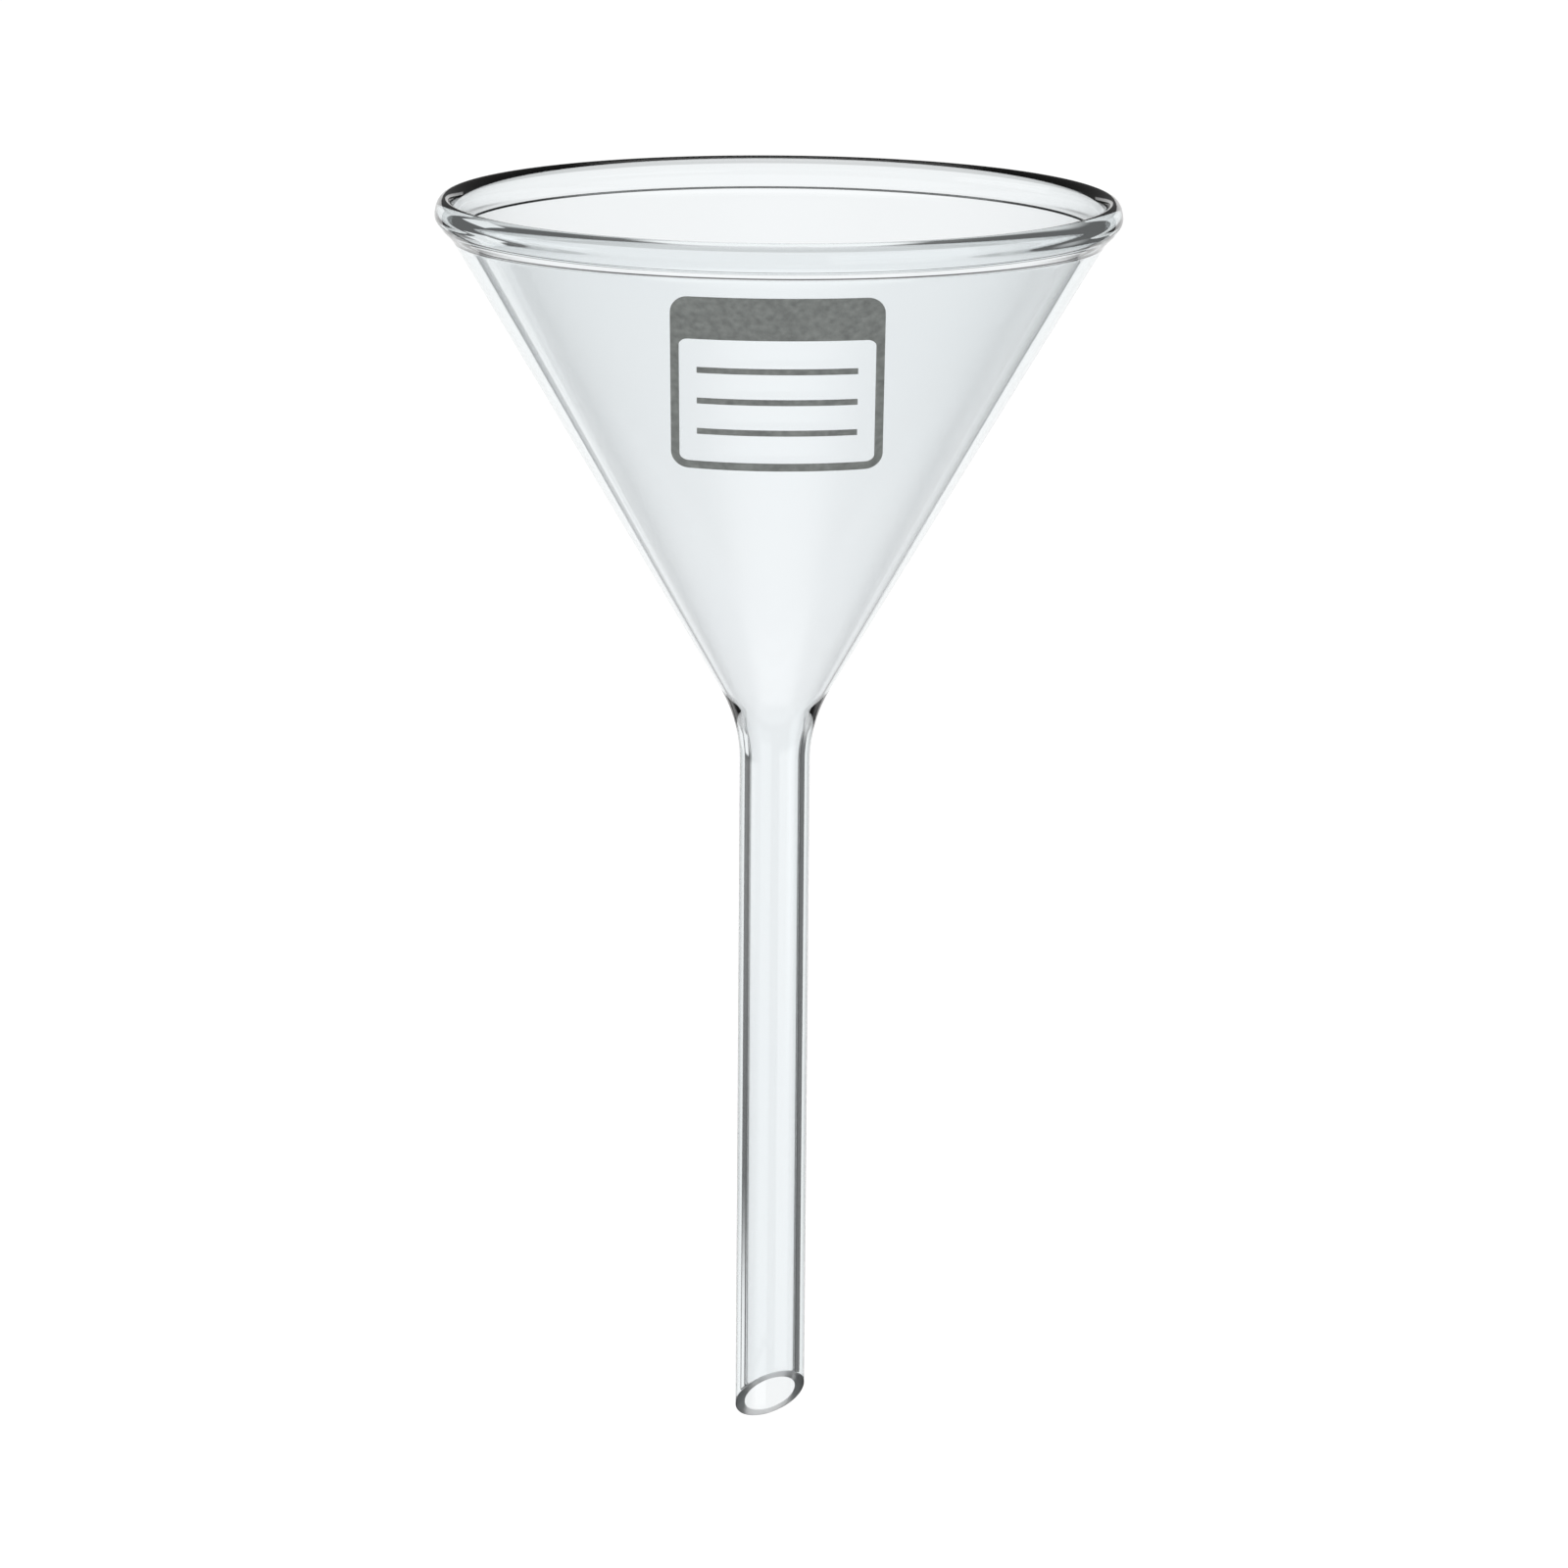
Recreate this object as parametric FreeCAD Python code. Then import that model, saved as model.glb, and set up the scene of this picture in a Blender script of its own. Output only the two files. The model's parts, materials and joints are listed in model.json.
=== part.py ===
"""Laboratory filter funnel: conical glass bowl with a beaded rim, flame-sealed neck, long stem.

Units are millimetres and degrees. The axis of the funnel is Z. The origin is on the axis, at the
top of the straight stem, where the flare of the neck begins. The fired print faces -Y.
"""

import FreeCAD, Part
import math
import os

# Driving dimensions.
rim_diameter = 100.0        # across the outside of the beaded rim
cone_angle = 61.0           # included angle of the bowl's outside
bead_height = 5.0           # rim bead, top to bottom
bead_thickness = 2.8        # rim bead, measured level
bead_proud = 0.45           # how far the bead's widest point stands out from the line of the cone
bowl_wall_top = 2.0         # glass thickness where the wall runs into the bead
bowl_wall_bottom = 0.7      # glass thickness where the bowl meets the neck
stem_outer_diameter = 10.4
stem_wall = 1.45
stem_length = 104.5         # from the corner of cone and stem to the middle of the ground tip
neck_radius = 22.0          # outside flare between the stem and the bowl
tip_angle = 45.0            # slope of the ground tip from square
tip_heading = -70.0         # compass direction of the stem's short side, from +X towards +Y
print_width = 30.0
print_height = 27.0
print_below_rim = 8.0       # from the rim's top to the upper edge of the print
print_corner = 2.5
print_border = 1.2          # width of the printed border
print_header = 6.5          # height of the solid bar along the top
print_thickness = 0.08      # fired enamel on the glass
rule_count = 3
rule_width = 0.9
rule_margin = 2.5           # from the border to the ends of each ruled line

AXIS = FreeCAD.Vector(0, 0, 1)
ORIGIN = FreeCAD.Vector(0, 0, 0)

rim_radius = rim_diameter / 2
stem_radius = stem_outer_diameter / 2
bore_radius = stem_radius - stem_wall
half_angle = math.radians(cone_angle / 2)

# Unit directions in the section: up along the bowl's wall, and outwards across it.
up_wall = FreeCAD.Vector(math.sin(half_angle), 0, math.cos(half_angle))
out_of_wall = FreeCAD.Vector(math.cos(half_angle), 0, -math.sin(half_angle))

# The outside of the cone, carried on, meets the outside of the stem at this corner.
corner_height = neck_radius * math.tan(half_angle / 2)
corner = FreeCAD.Vector(stem_radius, 0, corner_height)
tip_height = corner_height - stem_length

# The wall ends inside the bead, level with the bead's middle. The bead stands out from it.
wall_length = (rim_radius - bead_proud - stem_radius) / up_wall.x
wall_top_outside = corner + up_wall * wall_length
bead_middle = FreeCAD.Vector(rim_radius - bead_thickness / 2, 0, wall_top_outside.z)
rim_height = bead_middle.z + bead_height / 2

# The bowl and the neck meet on a face square to the wall, where the flare ends.
wall_foot_outside = corner + up_wall * corner_height
wall_foot_inside = wall_foot_outside - out_of_wall * bowl_wall_bottom
wall_top_inside = wall_top_outside - out_of_wall * bowl_wall_top


def revolve(edges):
    """Closed section of edges in the XZ plane, turned once round the axis."""
    face = Part.Face(Part.Wire(edges))
    return face.revolve(ORIGIN, AXIS, 360)


def polygon(points):
    """Straight edges joining the points in turn."""
    return [Part.LineSegment(a, b).toShape() for a, b in zip(points, points[1:])]


def make_rim_bead():
    """Edge of the bowl, rolled over and fire-polished to an upright oval ring."""
    top = FreeCAD.Vector(bead_middle.x, 0, rim_height)
    widest = FreeCAD.Vector(rim_radius, 0, bead_middle.z)
    oval = Part.Ellipse(top, widest, bead_middle)
    return revolve([oval.toShape()])


def make_bowl(rim_bead):
    """Conical wall, thinner towards the neck, ending on the underside of the bead."""
    section = [wall_foot_outside, wall_top_outside, wall_top_inside, wall_foot_inside, wall_foot_outside]
    return revolve(polygon(section)).cut(rim_bead)


def make_neck():
    """Flame-sealed flare. Outside and inside arcs both start square on top of the stem."""
    flare_middle = FreeCAD.Vector(stem_radius + neck_radius, 0, 0)
    toward_arc = FreeCAD.Vector(-math.cos(half_angle / 2), 0, math.sin(half_angle / 2))
    outside = Part.Arc(
        FreeCAD.Vector(stem_radius, 0, 0),
        flare_middle + toward_arc * neck_radius,
        wall_foot_outside,
    )

    inside_wall = (wall_top_inside - wall_foot_inside).normalize()
    inside_angle = math.atan2(inside_wall.x, inside_wall.z)
    throat_height = wall_foot_inside.z - (wall_foot_inside.x - bore_radius) / math.tan(inside_angle)
    throat_radius = throat_height / math.tan(inside_angle / 2)
    throat_middle = FreeCAD.Vector(bore_radius + throat_radius, 0, 0)
    toward_throat = FreeCAD.Vector(-math.cos(inside_angle / 2), 0, math.sin(inside_angle / 2))
    bore_top = FreeCAD.Vector(bore_radius, 0, 0)
    throat_top = FreeCAD.Vector(bore_radius, 0, throat_height) + inside_wall * throat_height
    inside = Part.Arc(throat_top, throat_middle + toward_throat * throat_radius, bore_top)

    return revolve([
        outside.toShape(),
        *polygon([wall_foot_outside, wall_foot_inside, throat_top]),
        inside.toShape(),
        *polygon([bore_top, FreeCAD.Vector(stem_radius, 0, 0)]),
    ])


def make_stem():
    """Straight drawn tube with its lower end ground off at a slope."""
    slope_rise = stem_radius * math.tan(math.radians(tip_angle))
    blank_length = -tip_height + slope_rise
    bottom = FreeCAD.Vector(0, 0, -blank_length)
    blank = Part.makeCylinder(stem_radius, blank_length, bottom)
    bore = Part.makeCylinder(bore_radius, blank_length, bottom)

    # A block whose top face is the ground slope, turned to face the short side.
    block_side = 8 * stem_radius + 2 * slope_rise
    ground_away = Part.makeBox(block_side, block_side, block_side)
    ground_away.translate(FreeCAD.Vector(-block_side / 2, -block_side / 2, -block_side))
    ground_away.rotate(ORIGIN, FreeCAD.Vector(0, 1, 0), -tip_angle)
    ground_away.rotate(ORIGIN, AXIS, tip_heading)
    ground_away.translate(FreeCAD.Vector(0, 0, tip_height))
    return blank.cut(bore).cut(ground_away)


def make_print():
    """Header bar, border and ruled lines of a write-on label, as thin enamel on the cone."""
    layer_foot = wall_foot_outside + out_of_wall * print_thickness
    layer_top = wall_top_outside + out_of_wall * print_thickness
    layer = revolve(polygon([wall_foot_outside, layer_foot, layer_top, wall_top_outside, wall_foot_outside]))

    label_bottom = rim_height - print_below_rim - print_height
    field_bottom = label_bottom + print_border
    field_height = print_height - print_border - print_header

    def stencil(width, bottom, height, corner_radius):
        """Block that covers a rectangle of the cone's front, with rounded corners if asked."""
        block = Part.makeBox(width, rim_radius, height, FreeCAD.Vector(-width / 2, -rim_radius, bottom))
        if corner_radius > 0:
            corners = [edge for edge in block.Edges if abs(edge.tangentAt(0).y) > 0.9]
            block = block.makeFillet(corner_radius, corners)
        return block

    label = stencil(print_width, label_bottom, print_height, print_corner)
    field_width = print_width - 2 * print_border
    field = stencil(field_width, field_bottom, field_height, print_corner - print_border)
    marks = [label.cut(field)]
    rule_spacing = field_height / (rule_count + 1)
    rule_length = field_width - 2 * rule_margin
    for number in range(1, rule_count + 1):
        rule_bottom = field_bottom + number * rule_spacing - rule_width / 2
        marks.append(stencil(rule_length, rule_bottom, rule_width, 0))
    solids = [solid for mark in marks for solid in layer.common(mark).Solids]
    return Part.makeCompound(solids)


rim_bead = make_rim_bead()
nodes = {
    "rim_bead": rim_bead,
    "bowl": make_bowl(rim_bead),
    "neck": make_neck(),
    "stem": make_stem(),
    "enamel_print": make_print(),
}

os.makedirs("parts", exist_ok=True)
for name, shape in nodes.items():
    shape.exportStep(f"parts/{name}.step")
    box = shape.BoundBox
    print(
        f"{name}: solids {len(shape.Solids)}, valid {shape.isValid()}, volume {shape.Volume:.2f},",
        f"x {box.XMin:.2f} {box.XMax:.2f}, y {box.YMin:.2f} {box.YMax:.2f}, z {box.ZMin:.2f} {box.ZMax:.2f}",
    )
print(f"rim height {rim_height:.3f}, bore radius {bore_radius:.3f}, tip middle {tip_height:.3f}")
print(f"straight stem on its short side {-tip_height - stem_radius * math.tan(math.radians(tip_angle)):.3f}")
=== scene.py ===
import json
import math

import bpy
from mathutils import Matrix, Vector


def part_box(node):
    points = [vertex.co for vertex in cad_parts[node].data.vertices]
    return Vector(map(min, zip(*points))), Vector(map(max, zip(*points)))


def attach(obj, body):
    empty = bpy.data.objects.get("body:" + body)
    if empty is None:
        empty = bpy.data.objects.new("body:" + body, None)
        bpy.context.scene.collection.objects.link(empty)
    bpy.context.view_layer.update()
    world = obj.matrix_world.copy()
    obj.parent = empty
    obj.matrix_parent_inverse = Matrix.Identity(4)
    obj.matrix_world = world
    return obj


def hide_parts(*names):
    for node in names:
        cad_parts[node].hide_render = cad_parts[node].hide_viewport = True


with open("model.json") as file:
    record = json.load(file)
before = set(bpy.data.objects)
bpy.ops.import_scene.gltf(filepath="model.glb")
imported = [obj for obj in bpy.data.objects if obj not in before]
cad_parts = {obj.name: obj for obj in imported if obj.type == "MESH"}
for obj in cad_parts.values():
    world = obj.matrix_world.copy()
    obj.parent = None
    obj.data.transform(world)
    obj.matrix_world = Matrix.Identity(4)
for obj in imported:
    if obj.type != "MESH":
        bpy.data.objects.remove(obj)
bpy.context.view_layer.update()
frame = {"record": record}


# Glass body: bowl, rolled rim bead, neck and stem, one piece of clear borosilicate once they are
# fused. The bowl is blown, the stem is drawn tube sealed on in the flame, and the edge is rolled
# over and fire-polished. Its section is turned once round the axis.
MM = 0.001
mounts = {mount["name"]: mount for mount in frame["record"]["mounts"]}
stem_radius = mounts["stem"]["dims"]["r_mm"] * MM
bore_radius = mounts["stem_bore"]["dims"]["r_mm"] * MM
rim_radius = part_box("rim_bead")[1].x
stem_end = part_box("stem")[0].z

half_angle = math.radians(30.5)
neck_radius = 22.0 * MM
bead_height = 5.0 * MM
bead_thickness = 2.8 * MM
bead_proud = 0.45 * MM
wall_at_bead = 2.0 * MM
wall_at_neck = 0.7 * MM
tip_slope = math.tan(math.radians(45))
tip_heading = math.radians(-70)
crease_reach = 0.35 * MM
shoulder_length = 4.1 * MM
shoulder_lift = 1.3 * MM
shoulder_drop = 1.4 * MM
fold_below_rim = 4.75 * MM
fold_reach = 0.3 * MM
fold_depth = 0.15 * MM
ground_edge = 0.16 * MM
turns_around = 320
seam_gap = 0.0005 * MM
flare_steps = 24
stem_steps = 24
wall_steps = 20
bead_steps = 64
soft_corner_steps = 8
face_steps = 8
fold_wall_steps = 6
ground_edge_steps = 5

up_wall = Vector((math.sin(half_angle), math.cos(half_angle)))
out_of_wall = Vector((math.cos(half_angle), -math.sin(half_angle)))
corner = Vector((stem_radius, neck_radius * math.tan(half_angle / 2)))
wall_foot = corner + up_wall * corner.y
wall_top = corner + up_wall * (rim_radius - bead_proud - stem_radius) / up_wall.x
bead_middle = Vector((rim_radius - bead_thickness / 2, wall_top.y))
tip_middle = stem_end + stem_radius * tip_slope


def straight(start, end, count):
    """Points from start towards end, closer together near both, without the end itself."""
    shares = [(1 - math.cos(math.pi * step / count)) / 2 for step in range(count)]
    return [start.lerp(end, share) for share in shares]


def arc(middle, radius, first, last, count):
    """Points on an arc between two angles, both ends included."""
    angles = [first + (last - first) * step / count for step in range(count + 1)]
    return [middle + radius * Vector((math.cos(a), math.sin(a))) for a in angles]


def rounded(before, crease, after, count):
    """A soft corner that leaves the section at before and joins it again at after."""
    softened = []
    for step in range(count + 1):
        share = step / count
        softened.append(before.lerp(crease, share).lerp(crease.lerp(after, share), share))
    return softened


def swelling(start, leaving, arriving, end, count):
    """A smooth swelling from start to end, which sets off towards leaving and comes in from arriving."""
    swollen = []
    for step in range(count + 1):
        share = step / count
        early = start.lerp(leaving, share).lerp(leaving.lerp(arriving, share), share)
        late = leaving.lerp(arriving, share).lerp(arriving.lerp(end, share), share)
        swollen.append(early.lerp(late, share))
    return swollen


def bead_point(angle):
    """Point on the oval of the rim bead. Angle 0 is its top, 90 degrees its widest point."""
    return bead_middle + Vector((math.sin(angle) * bead_thickness / 2, math.cos(angle) * bead_height / 2))


def bead_met(start, direction):
    """Where a line up the wall first meets the bead, as an angle on its oval."""
    squeeze = Vector((2 / bead_thickness, 2 / bead_height))
    here = (start - bead_middle) * squeeze
    step = direction * squeeze
    halfway = -here.dot(step) / step.length_squared
    reach = halfway - math.sqrt(halfway ** 2 - (here.length_squared - 1) / step.length_squared)
    met = here + step * reach
    return math.atan2(met.x, met.y) % math.tau


def crease_turn(angle):
    """How much of the oval, as an angle, the softened crease at this angle takes up."""
    across = math.cos(angle) * bead_thickness / 2
    along = math.sin(angle) * bead_height / 2
    return crease_reach / math.hypot(across, along)


def funnel_section():
    """Closed section (radius, height, slant) from the tip, up the outside and down the inside."""
    foot_inside = wall_foot - out_of_wall * wall_at_neck
    inside_wall = (wall_top - out_of_wall * wall_at_bead - foot_inside).normalized()
    inner_crease_angle = bead_met(foot_inside, inside_wall) - math.tau
    inner_crease = bead_point(inner_crease_angle)

    inside_angle = math.atan2(inside_wall.x, inside_wall.y)
    throat_height = foot_inside.y - (foot_inside.x - bore_radius) / math.tan(inside_angle)
    throat_radius = throat_height / math.tan(inside_angle / 2)
    throat_top = Vector((bore_radius, throat_height)) + inside_wall * throat_height

    bead_first = math.pi / 2
    bead_last = inner_crease_angle + crease_turn(inner_crease_angle)
    bead_sweep = bead_last - bead_first
    bead = [bead_point(bead_first + bead_sweep * n / bead_steps) for n in range(bead_steps + 1)]

    flare_middle = Vector((stem_radius + neck_radius, 0))
    flare = arc(flare_middle, neck_radius, math.pi, math.pi - half_angle, flare_steps)
    throat_middle = Vector((bore_radius + throat_radius, 0))
    throat = arc(throat_middle, throat_radius, math.pi - inside_angle, math.pi, flare_steps)
    shoulder = wall_top - up_wall * shoulder_length
    under_bead = bead[0] - Vector((0, shoulder_drop))
    leaving_wall = shoulder + up_wall * shoulder_lift
    outside = flare + straight(flare[-1], shoulder, wall_steps)[1:]
    outside += swelling(shoulder, leaving_wall, under_bead, bead[0], wall_steps) + bead[1:-1]

    # Inside, a fine line is left where the rolled edge was folded down onto the wall.
    inner_end = inner_crease - inside_wall * crease_reach
    fold_height = bead_middle.y + bead_height / 2 - fold_below_rim
    fold = foot_inside + inside_wall * (fold_height - foot_inside.y) / inside_wall.y
    above_fold = fold + inside_wall * fold_reach
    below_fold = fold - inside_wall * fold_reach
    fold_bottom = fold + out_of_wall * fold_depth
    inside = rounded(bead[-1], inner_crease, inner_end, soft_corner_steps)
    inside += straight(inner_end, above_fold, fold_wall_steps)[1:]
    inside += rounded(above_fold, fold_bottom, below_fold, soft_corner_steps)
    inside += straight(below_fold, throat_top, wall_steps)[1:] + throat

    # The ground face, its two edges very slightly eased. These heights follow the ground slope.
    outer_middle = Vector((stem_radius - ground_edge, ground_edge))
    inner_middle = Vector((bore_radius + ground_edge, ground_edge))
    outer_edge = arc(outer_middle, ground_edge, -math.pi / 2, 0, ground_edge_steps)
    inner_edge = arc(inner_middle, ground_edge, math.pi, 1.5 * math.pi, ground_edge_steps)
    face = straight(inner_edge[-1], outer_edge[0], face_steps)[1:]
    tip = [Vector((p.x, p.y + tip_middle)) for p in inner_edge + face + outer_edge]

    stem_up = straight(tip[-1], flare[0], stem_steps)[1:]
    stem_down = straight(throat[-1], tip[0], stem_steps)[1:]
    section = [(p, 1.0) for p in tip]
    section += [(p, (p.y / tip_middle) ** 2) for p in stem_up]
    section += [(p, 0.0) for p in outside + inside]
    section += [(p, (p.y / tip_middle) ** 2) for p in stem_down]
    return section


def turning_tree(material):
    """Node tree that turns a section of points round the axis and slants its tip."""
    tree = bpy.data.node_groups.new("turn_section", "GeometryNodeTree")
    sockets = tree.interface
    sockets.new_socket("Section", in_out="INPUT", socket_type="NodeSocketGeometry")
    inputs = {}
    for name, kind in (("Points", "Int"), ("Around", "Int"), ("Slope", "Float"), ("Heading", "Float")):
        socket = sockets.new_socket(name, in_out="INPUT", socket_type="NodeSocket" + kind)
        inputs[name] = socket.identifier
    sockets.new_socket("Glass", in_out="OUTPUT", socket_type="NodeSocketGeometry")

    nodes, links = tree.nodes, tree.links
    given = nodes.new("NodeGroupInput")
    result = nodes.new("NodeGroupOutput")

    def maths(operation, first, second=None):
        node = nodes.new("ShaderNodeMath")
        node.operation = operation
        for socket, value in zip(node.inputs, (first, second)):
            if isinstance(value, bpy.types.NodeSocket):
                links.new(value, socket)
            elif value is not None:
                socket.default_value = value
        return node.outputs[0]

    grid = nodes.new("GeometryNodeMeshGrid")
    columns = maths("ADD", given.outputs["Points"], 1.0)
    rows = maths("ADD", given.outputs["Around"], 1.0)
    links.new(columns, grid.inputs["Vertices X"])
    links.new(rows, grid.inputs["Vertices Y"])

    index = nodes.new("GeometryNodeInputIndex").outputs[0]
    place = maths("FLOOR", maths("DIVIDE", index, rows))
    point = maths("MODULO", place, given.outputs["Points"])
    turn = maths("MODULO", index, rows)
    angle = maths("MULTIPLY", maths("DIVIDE", turn, given.outputs["Around"]), math.tau)

    position = nodes.new("GeometryNodeInputPosition")
    section_place = nodes.new("GeometryNodeSampleIndex")
    section_place.data_type = "FLOAT_VECTOR"
    links.new(given.outputs["Section"], section_place.inputs["Geometry"])
    links.new(position.outputs[0], section_place.inputs["Value"])
    links.new(point, section_place.inputs["Index"])
    split = nodes.new("ShaderNodeSeparateXYZ")
    links.new(section_place.outputs[0], split.inputs[0])

    named_slant = nodes.new("GeometryNodeInputNamedAttribute")
    named_slant.data_type = "FLOAT"
    named_slant.inputs["Name"].default_value = "slant"
    slant = nodes.new("GeometryNodeSampleIndex")
    slant.data_type = "FLOAT"
    links.new(given.outputs["Section"], slant.inputs["Geometry"])
    links.new(named_slant.outputs[0], slant.inputs["Value"])
    links.new(point, slant.inputs["Index"])

    radius = split.outputs["X"]
    toward_short_side = maths("COSINE", maths("SUBTRACT", angle, given.outputs["Heading"]))
    lift = maths("MULTIPLY", maths("MULTIPLY", radius, given.outputs["Slope"]), toward_short_side)
    height = maths("ADD", split.outputs["Z"], maths("MULTIPLY", lift, slant.outputs[0]))
    placed = nodes.new("ShaderNodeCombineXYZ")
    links.new(maths("MULTIPLY", radius, maths("COSINE", angle)), placed.inputs["X"])
    links.new(maths("MULTIPLY", radius, maths("SINE", angle)), placed.inputs["Y"])
    links.new(height, placed.inputs["Z"])

    moved = nodes.new("GeometryNodeSetPosition")
    links.new(grid.outputs["Mesh"], moved.inputs["Geometry"])
    links.new(placed.outputs[0], moved.inputs["Position"])
    closed = nodes.new("GeometryNodeMergeByDistance")
    closed.inputs["Distance"].default_value = seam_gap
    links.new(moved.outputs[0], closed.inputs["Geometry"])
    outward = nodes.new("GeometryNodeFlipFaces")
    links.new(closed.outputs[0], outward.inputs[0])
    smooth = nodes.new("GeometryNodeSetShadeSmooth")
    links.new(outward.outputs[0], smooth.inputs["Geometry"])
    real = nodes.new("GeometryNodeRealizeInstances")
    links.new(smooth.outputs[0], real.inputs["Geometry"])
    coated = nodes.new("GeometryNodeSetMaterial")
    coated.inputs["Material"].default_value = material
    links.new(real.outputs[0], coated.inputs["Geometry"])
    links.new(coated.outputs[0], result.inputs[0])
    return tree, inputs


def clear_glass():
    """Borosilicate: faintly green-blue where it is thick, with the shallow waves of hot working."""
    material = bpy.data.materials.new("clear_glass")
    material.use_nodes = True
    nodes, links = material.node_tree.nodes, material.node_tree.links
    shader = nodes["Principled BSDF"]
    shader.inputs["Transmission Weight"].default_value = 1.0
    shader.inputs["IOR"].default_value = 1.473
    place = nodes.new("ShaderNodeTexCoord")

    # The ground face at the tip is frosted: everything on its slope, and nothing above it.
    off_slope = nodes.new("ShaderNodeVectorMath")
    off_slope.operation = "DOT_PRODUCT"
    off_slope.inputs[1].default_value = (
        -tip_slope * math.cos(tip_heading),
        -tip_slope * math.sin(tip_heading),
        1,
    )
    links.new(place.outputs["Object"], off_slope.inputs[0])
    ground = nodes.new("ShaderNodeMapRange")
    ground.inputs["From Min"].default_value = tip_middle + 0.25 * ground_edge
    ground.inputs["From Max"].default_value = tip_middle + 0.75 * ground_edge
    ground.inputs["To Min"].default_value = 0.55
    ground.inputs["To Max"].default_value = 0.0
    links.new(off_slope.outputs["Value"], ground.inputs["Value"])

    waves = nodes.new("ShaderNodeTexNoise")
    waves.inputs["Scale"].default_value = 55.0
    waves.inputs["Detail"].default_value = 1.0
    links.new(place.outputs["Object"], waves.inputs["Vector"])
    ripple = nodes.new("ShaderNodeBump")
    ripple.inputs["Strength"].default_value = 0.25
    ripple.inputs["Distance"].default_value = 0.00004
    links.new(waves.outputs["Fac"], ripple.inputs["Height"])
    links.new(ripple.outputs["Normal"], shader.inputs["Normal"])

    haze = nodes.new("ShaderNodeTexNoise")
    haze.inputs["Scale"].default_value = 140.0
    haze.inputs["Detail"].default_value = 3.0
    links.new(place.outputs["Object"], haze.inputs["Vector"])
    polish = nodes.new("ShaderNodeMapRange")
    polish.inputs["To Min"].default_value = 0.0
    polish.inputs["To Max"].default_value = 0.02
    links.new(haze.outputs["Fac"], polish.inputs["Value"])
    roughness = nodes.new("ShaderNodeMath")
    roughness.operation = "MAXIMUM"
    links.new(polish.outputs["Result"], roughness.inputs[0])
    links.new(ground.outputs["Result"], roughness.inputs[1])
    links.new(roughness.outputs[0], shader.inputs["Roughness"])

    tone = nodes.new("ShaderNodeMix")
    tone.data_type = "RGBA"
    tone.inputs["A"].default_value = (0.972, 0.986, 0.998, 1)
    tone.inputs["B"].default_value = (0.982, 0.993, 1.0, 1)
    links.new(waves.outputs["Fac"], tone.inputs["Factor"])
    links.new(tone.outputs["Result"], shader.inputs["Base Color"])

    depth = nodes.new("ShaderNodeVolumeAbsorption")
    depth.inputs["Color"].default_value = (0.62, 0.82, 0.84, 1)
    depth.inputs["Density"].default_value = 30.0
    links.new(depth.outputs["Volume"], nodes["Material Output"].inputs["Volume"])
    return material


section = funnel_section()
section_mesh = bpy.data.meshes.new("funnel_section")
section_mesh.from_pydata([(p.x, 0, p.y) for p, slant in section], [], [])
slants = section_mesh.attributes.new("slant", "FLOAT", "POINT")
slants.data.foreach_set("value", [slant for p, slant in section])
blank = bpy.data.objects.new("glass_blank", section_mesh)
bpy.context.scene.collection.objects.link(blank)

glass = clear_glass()
tree, tree_inputs = turning_tree(glass)
turning = blank.modifiers.new("turn_section", "NODES")
turning.node_group = tree
turning[tree_inputs["Points"]] = len(section)
turning[tree_inputs["Around"]] = turns_around
turning[tree_inputs["Slope"]] = tip_slope
turning[tree_inputs["Heading"]] = tip_heading
evaluated = blank.evaluated_get(bpy.context.evaluated_depsgraph_get())
glass_mesh = bpy.data.meshes.new_from_object(evaluated)
bpy.data.objects.remove(blank)

glass_body = bpy.data.objects.new("glass_body", glass_mesh)
bpy.context.scene.collection.objects.link(glass_body)
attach(glass_body, "root")
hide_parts("bowl", "rim_bead", "neck", "stem")


# Write-on label: a header bar, border and ruled lines screen-printed in grey enamel on the front
# of the cone and fired into the glass, so it is a thin layer that follows the wall.
print_width = 30.0 * MM
print_height = 27.0 * MM
print_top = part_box("enamel_print")[1].z
print_corner = 2.5 * MM
print_border = 1.2 * MM
print_header = 6.5 * MM
rule_count = 3
rule_width = 0.9 * MM
rule_margin = 2.5 * MM
enamel_lift = 0.015 * MM
enamel_thickness = 0.06 * MM
print_corner_steps = 8
border_step = 0.7 * MM
rule_steps = 30


def on_cone(x, z, lift):
    """Point on the front of the cone, seen square from the front at (x, z), raised by lift."""
    radius = stem_radius + (z - corner.y) * math.tan(half_angle)
    y = -math.sqrt(radius ** 2 - x ** 2)
    outward = Vector((x, y, 0)).normalized() * out_of_wall.x + Vector((0, 0, out_of_wall.y))
    return Vector((x, y, z)) + outward * lift


def enamel_strip(rails, closed):
    """Thin solid strip of enamel between two rails, each a list of (x, z) places on the cone."""
    count = len(rails[0])
    levels = (enamel_lift, enamel_lift + enamel_thickness)
    ring = [(0, 0), (1, 0), (1, 1), (0, 1)]
    vertices = [on_cone(*rails[side][n], levels[level]) for n in range(count) for side, level in ring]
    faces = []
    for n in range(count if closed else count - 1):
        here, there = 4 * n, 4 * ((n + 1) % count)
        for k in range(4):
            faces.append((here + k, here + (k + 1) % 4, there + (k + 1) % 4, there + k))
    if not closed:
        last = 4 * (count - 1)
        faces += [(3, 2, 1, 0), (last, last + 1, last + 2, last + 3)]
    return vertices, faces


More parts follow.
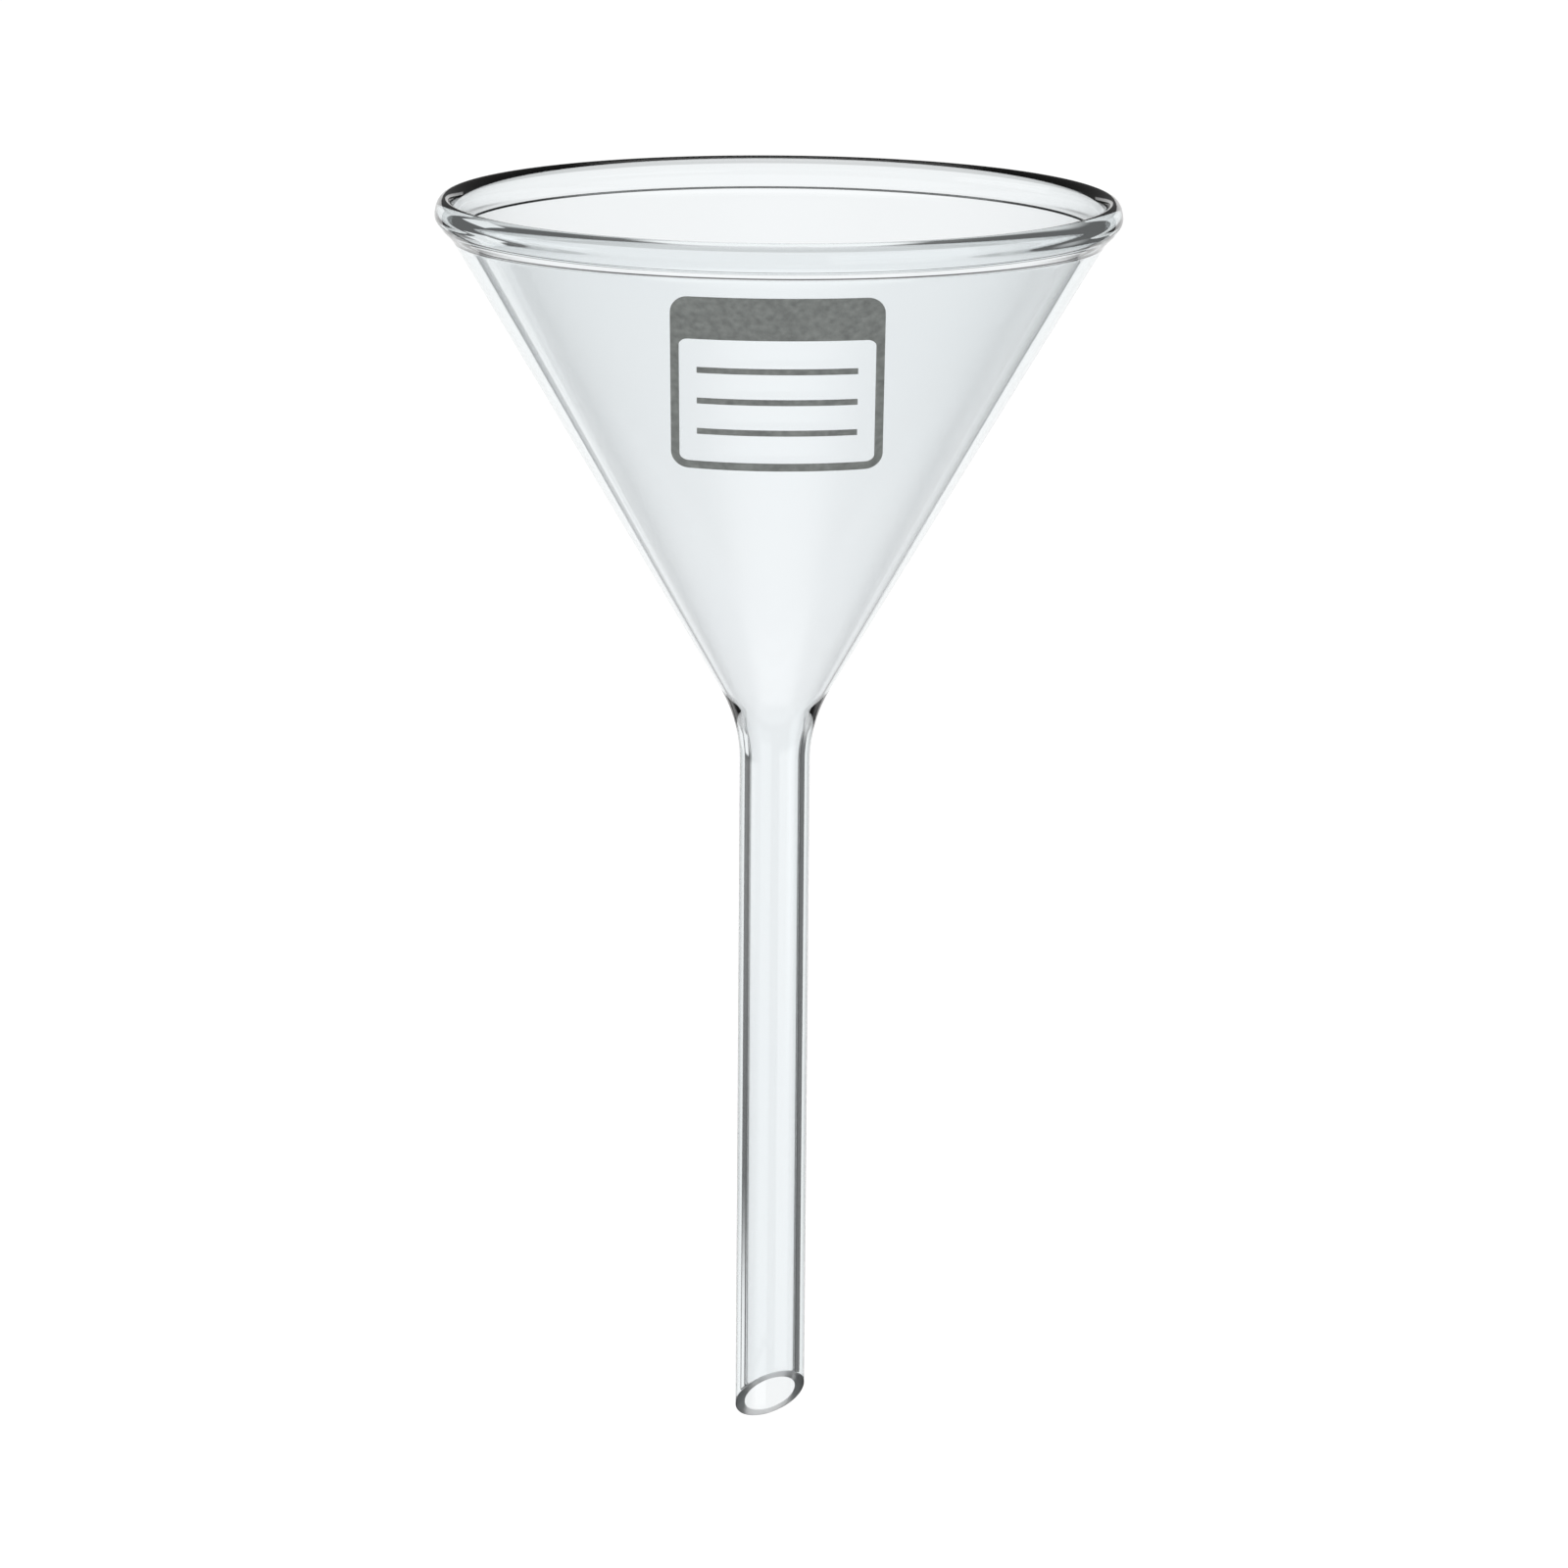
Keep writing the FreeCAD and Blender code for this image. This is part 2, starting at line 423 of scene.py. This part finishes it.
def rounded_rectangle(width, height, radius, middle_z):
    """Places (x, z) round a rectangle with round corners, at even steps."""
    places = []
    for quarter in range(4):
        along = (1, -1, -1, 1)[quarter], (1, 1, -1, -1)[quarter]
        centre_x = along[0] * (width / 2 - radius)
        centre_z = middle_z + along[1] * (height / 2 - radius)
        for step in range(print_corner_steps + 1):
            angle = (quarter + step / print_corner_steps) * math.pi / 2
            places.append((centre_x + radius * math.cos(angle), centre_z + radius * math.sin(angle)))
    filled = []
    for first, second in zip(places, places[1:] + places[:1]):
        gap = math.dist(first, second)
        pieces = max(1, round(gap / border_step))
        for k in range(pieces):
            share = k / pieces
            x = first[0] + (second[0] - first[0]) * share
            z = first[1] + (second[1] - first[1]) * share
            filled.append((x, z))
    return filled


def fired_enamel():
    """Grey glass enamel with the faint mottle and pinholes of screen printing."""
    material = bpy.data.materials.new("grey_enamel")
    material.use_nodes = True
    nodes, links = material.node_tree.nodes, material.node_tree.links
    shader = nodes["Principled BSDF"]
    place = nodes.new("ShaderNodeTexCoord")
    mottle = nodes.new("ShaderNodeTexNoise")
    mottle.inputs["Scale"].default_value = 900.0
    mottle.inputs["Detail"].default_value = 4.0
    links.new(place.outputs["Object"], mottle.inputs["Vector"])
    greys = nodes.new("ShaderNodeValToRGB")
    greys.color_ramp.elements[0].position = 0.3
    greys.color_ramp.elements[0].color = (0.13, 0.14, 0.135, 1)
    greys.color_ramp.elements[1].position = 0.7
    greys.color_ramp.elements[1].color = (0.21, 0.225, 0.215, 1)
    links.new(mottle.outputs["Fac"], greys.inputs["Fac"])
    links.new(greys.outputs["Color"], shader.inputs["Base Color"])
    sheen = nodes.new("ShaderNodeMapRange")
    sheen.inputs["To Min"].default_value = 0.35
    sheen.inputs["To Max"].default_value = 0.6
    links.new(mottle.outputs["Fac"], sheen.inputs["Value"])
    links.new(sheen.outputs["Result"], shader.inputs["Roughness"])
    grain = nodes.new("ShaderNodeBump")
    grain.inputs["Strength"].default_value = 0.3
    grain.inputs["Distance"].default_value = 0.00002
    links.new(mottle.outputs["Fac"], grain.inputs["Height"])
    links.new(grain.outputs["Normal"], shader.inputs["Normal"])
    return material


print_middle = print_top - print_height / 2
outer_rail = rounded_rectangle(print_width, print_height, print_corner, print_middle)
field_bottom = print_top - print_height + print_border
field_height = print_height - print_border - print_header
squash = field_height / (print_height - 2 * print_border)
inner_rail = []
for x, z in outer_rail:
    reach = Vector((x, z - print_middle))
    core = Vector((
        max(-(print_width / 2 - print_corner), min(print_width / 2 - print_corner, reach.x)),
        max(-(print_height / 2 - print_corner), min(print_height / 2 - print_corner, reach.y)),
    ))
    inward = core + (reach - core) * (1 - print_border / print_corner)
    inner_rail.append((inward.x, field_bottom + (inward.y + print_middle - field_bottom) * squash))
strips = [enamel_strip((outer_rail, inner_rail), True)]
rule_length = print_width - 2 * (print_border + rule_margin)
for number in range(1, rule_count + 1):
    rule_z = field_bottom + number * field_height / (rule_count + 1)
    across = [rule_length * (n / rule_steps - 0.5) for n in range(rule_steps + 1)]
    rails = [[(x, rule_z + side * rule_width / 2) for x in across] for side in (1, -1)]
    strips.append(enamel_strip(rails, False))

vertices, faces = [], []
for strip_vertices, strip_faces in strips:
    start = len(vertices)
    vertices += strip_vertices
    faces += [tuple(start + k for k in face) for face in strip_faces]
print_mesh = bpy.data.meshes.new("enamel_print_layer")
print_mesh.from_pydata(vertices, [], faces)
print_mesh.materials.append(fired_enamel())
enamel_layer = bpy.data.objects.new("enamel_print_layer", print_mesh)
bpy.context.scene.collection.objects.link(enamel_layer)
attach(enamel_layer, "root")
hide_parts("enamel_print")


# Studio: a pale floor under the funnel, which a stand's ring would hold just clear of it. The glass
# has a dark surround. White panels opposite its front, its right side and, from above, its right
# front and left back corners make its edges dark lines on white. From other sides it looks smoky.
floor_gap = 40 * MM
floor_half = 6.0
floor_z = stem_end - floor_gap
floor_mesh = bpy.data.meshes.new("floor")
floor_corners = [
    (x * floor_half, y * floor_half, floor_z) for x, y in [(-1, -1), (1, -1), (1, 1), (-1, 1)]
]
floor_mesh.from_pydata(floor_corners, [], [(0, 1, 2, 3)])
pale = bpy.data.materials.new("pale_floor")
pale.use_nodes = True
pale_shader = pale.node_tree.nodes["Principled BSDF"]
pale_shader.inputs["Base Color"].default_value = (0.8, 0.8, 0.8, 1)
pale_shader.inputs["Roughness"].default_value = 1.0
pale_shader.inputs["Specular IOR Level"].default_value = 0.0
pale_shader.inputs["Emission Color"].default_value = (1, 1, 1, 1)
pale_shader.inputs["Emission Strength"].default_value = 0.25
floor_mesh.materials.append(pale)
floor = bpy.data.objects.new("floor", floor_mesh)
# The glass neither shows nor reflects the floor, only the surround.
floor.visible_transmission = False
floor.visible_glossy = False
bpy.context.scene.collection.objects.link(floor)

world = bpy.data.worlds.new("studio_surround")
bpy.context.scene.world = world
world.use_nodes = True
surround = world.node_tree


def surround_maths(operation, first, second=None, third=None):
    """One Math node of the surround, fed by sockets or plain numbers."""
    node = surround.nodes.new("ShaderNodeMath")
    node.operation = operation
    for socket, value in zip(node.inputs, (first, second, third)):
        if isinstance(value, bpy.types.NodeSocket):
            surround.links.new(value, socket)
        elif value is not None:
            socket.default_value = value
    return node.outputs[0]


def fall_off(distance, half_width, softness):
    """1 inside half_width, falling smoothly to 0 over softness."""
    edge = surround.nodes.new("ShaderNodeMapRange")
    edge.interpolation_type = "SMOOTHSTEP"
    edge.inputs["From Min"].default_value = half_width
    edge.inputs["From Max"].default_value = half_width + softness
    edge.inputs["To Min"].default_value = 1.0
    edge.inputs["To Max"].default_value = 0.0
    surround.links.new(distance, edge.inputs["Value"])
    return edge.outputs["Result"]


outlook = surround.nodes.new("ShaderNodeTexCoord")
split_outlook = surround.nodes.new("ShaderNodeSeparateXYZ")
surround.links.new(outlook.outputs["Generated"], split_outlook.inputs[0])
heading = surround_maths("ARCTAN2", split_outlook.outputs["Y"], split_outlook.outputs["X"])
climb = surround_maths("ARCSINE", split_outlook.outputs["Z"])

# Each panel: heading from +X, height above the horizon, half width, half height, softness of its
# edges (all in degrees) and brightness.
panels = [
    (90, -9.5, 27, 15, 2, 1.0),
    (90, -46, 17, 22, 4, 0.75),
    (90, -56, 38, 20, 20, 0.8),
    (180, -4, 22, 9, 4, 1.0),
    (135, -24.3, 10, 6.2, 2, 1.0),
    (315, -15, 26, 10, 4, 1.0),
]
surround_dark = 0.13
nadir_width, nadir_softness = math.radians(20), math.radians(10)
zenith_width, zenith_softness = math.radians(28), math.radians(15)
brightness = surround_dark
for panel_heading, panel_climb, half_width, half_height, softness, panel_light in panels:
    turned = surround_maths("SUBTRACT", heading, math.radians(panel_heading))
    sideways = surround_maths("ARCCOSINE", surround_maths("COSINE", turned))
    upward = surround_maths("ABSOLUTE", surround_maths("SUBTRACT", climb, math.radians(panel_climb)))
    inside = surround_maths(
        "MULTIPLY",
        fall_off(sideways, math.radians(half_width), math.radians(softness)),
        fall_off(upward, math.radians(half_height), math.radians(softness)),
    )
    brightness = surround_maths("MAXIMUM", brightness, surround_maths("MULTIPLY", inside, panel_light))

# White straight below and straight above.
right_angle = math.radians(90)
nadir = fall_off(surround_maths("ADD", climb, right_angle), nadir_width, nadir_softness)
zenith = fall_off(surround_maths("SUBTRACT", right_angle, climb), zenith_width, zenith_softness)
brightness = surround_maths("MAXIMUM", surround_maths("MAXIMUM", brightness, nadir), zenith)

# The camera itself and matt surfaces see plain white, so the dark surround is only in the glass.
ray = surround.nodes.new("ShaderNodeLightPath")
plain = surround_maths("MAXIMUM", ray.outputs["Is Camera Ray"], ray.outputs["Is Diffuse Ray"])
strength = surround_maths("MAXIMUM", plain, brightness)
surround.links.new(strength, surround.nodes["Background"].inputs["Strength"])
surround.nodes["Background"].inputs["Color"].default_value = (1, 1, 1, 1)

soft_box = bpy.data.lights.new("soft_box", "AREA")
soft_box.shape = "RECTANGLE"
soft_box.size = 0.5
soft_box.size_y = 0.7
soft_box.energy = 1.5
soft_light = bpy.data.objects.new("soft_box", soft_box)
soft_light.location = (-0.7, -0.5, 0.9)
soft_light.rotation_euler = (-Vector(soft_light.location)).to_track_quat("-Z", "Y").to_euler()
soft_light.visible_glossy = False
soft_light.visible_transmission = False
bpy.context.scene.collection.objects.link(soft_light)
bpy.context.scene.view_settings.view_transform = "Standard"


# Camera: a long lens, a little above the rim and looking slightly down.
camera_data = bpy.data.cameras.new("camera")
camera_data.sensor_width = 36.0
camera_data.lens = 142.9
camera = bpy.data.objects.new("camera", camera_data)
camera.location = (0.0014, -0.9, 0.2025)
camera.rotation_mode = "XYZ"
looking_down = 12.9
camera_roll = 0.47
camera.rotation_euler = (math.radians(90 - looking_down), 0.0, 0.0)
camera.rotation_euler.rotate_axis("Z", math.radians(camera_roll))
bpy.context.scene.collection.objects.link(camera)
bpy.context.scene.camera = camera
